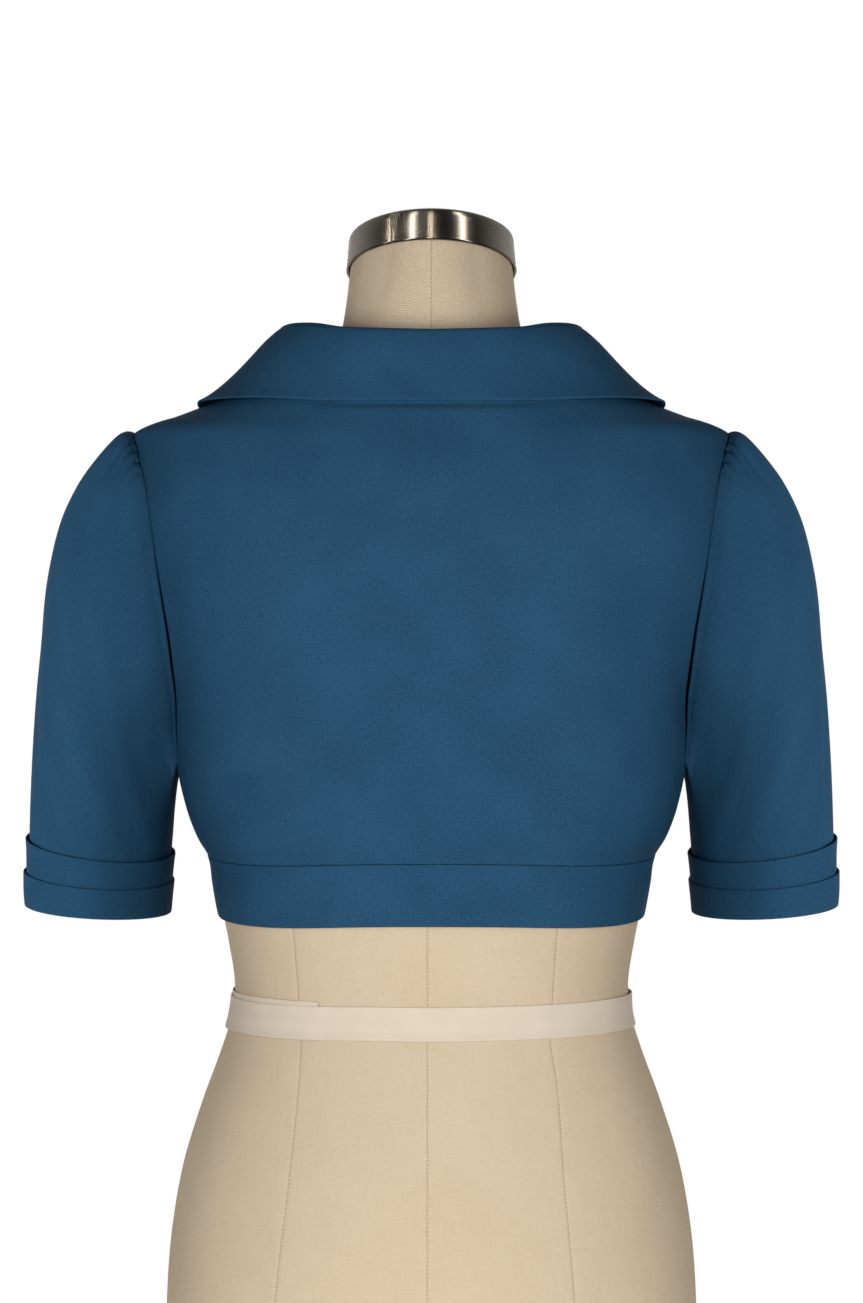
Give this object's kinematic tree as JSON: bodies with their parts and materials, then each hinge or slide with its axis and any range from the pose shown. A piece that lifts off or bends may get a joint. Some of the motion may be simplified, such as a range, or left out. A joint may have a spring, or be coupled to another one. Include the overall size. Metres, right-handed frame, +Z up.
{
  "type": "cropped jacket on dress form",
  "caption": "Cropped jacket with a wide shawl collar, short gathered sleeves, folded cuffs and a hem band, worn by a limbless dress form with a steel neck cap.",
  "frame": {"origin": "middle of the dress form's flat foot, on the surface that it stands on", "axes": "+Z up, the jacket faces -Y, +X towards the wearer's left"},
  "size_m": [0.501, 0.2699, 0.7467],
  "materials": {
    "cloth": "blue sateen with a soft sheen",
    "canvas": "natural canvas",
    "twill": "off-white twill tape",
    "steel": "brushed"
  },
  "bodies": {
    "root": {"back": "cloth", "front_left": "cloth", "front_right": "cloth", "collar": "cloth", "hem_band": "cloth", "sleeve_left": "cloth", "cuff_upper_left": "cloth", "cuff_lower_left": "cloth", "sleeve_right": "cloth", "cuff_upper_right": "cloth", "cuff_lower_right": "cloth", "form_body": "canvas", "waist_tape": "twill", "neck_cap": "steel"}
  },
  "joints": []
}
